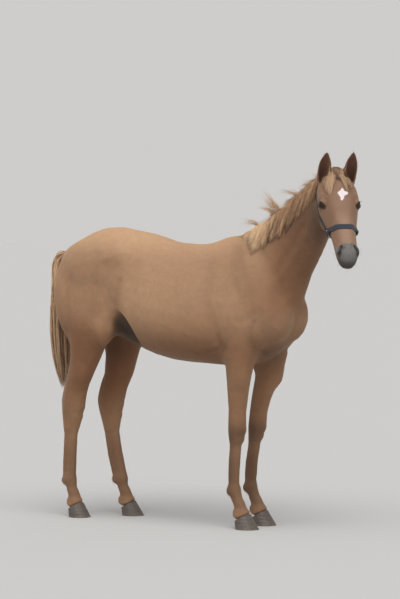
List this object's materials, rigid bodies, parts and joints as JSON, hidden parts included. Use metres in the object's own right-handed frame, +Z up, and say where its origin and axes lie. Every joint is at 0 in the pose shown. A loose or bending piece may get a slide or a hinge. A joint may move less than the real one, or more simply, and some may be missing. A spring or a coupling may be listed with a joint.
{
  "type": "horse",
  "caption": "Standing young chestnut horse with pale mane and tail, head turned to its right, wearing a plain dark headcollar.",
  "frame": {"origin": "under the middle of the horse's bounding box, at floor level between the four hooves", "axes": "+X towards the chest, along the body; +Y to the horse's left; +Z up"},
  "size_m": [2.0186, 0.6426, 1.8342],
  "materials": {
    "coat": "short smooth chestnut hair",
    "long_hair": "long pale chestnut hair",
    "hoof_horn": "dull striped horn",
    "eye": "wet dark brown",
    "webbing": "dark navy woven webbing",
    "ring_metal": "dull worn metal"
  },
  "bodies": {
    "root": {"head": "coat", "neck": "coat", "trunk": "coat", "leg_fore_left": "coat", "leg_fore_right": "coat", "leg_hind_left": "coat", "leg_hind_right": "coat", "ear_left": "coat", "ear_right": "coat", "mane": "long_hair", "forelock": "long_hair", "tail": "long_hair", "hoof_fore_left": "hoof_horn", "hoof_fore_right": "hoof_horn", "hoof_hind_left": "hoof_horn", "hoof_hind_right": "hoof_horn", "eye_left": "eye", "eye_right": "eye", "noseband": "webbing", "cheek_and_crown_strap": "webbing", "halter_ring_left": "ring_metal", "halter_ring_right": "ring_metal"}
  },
  "joints": []
}
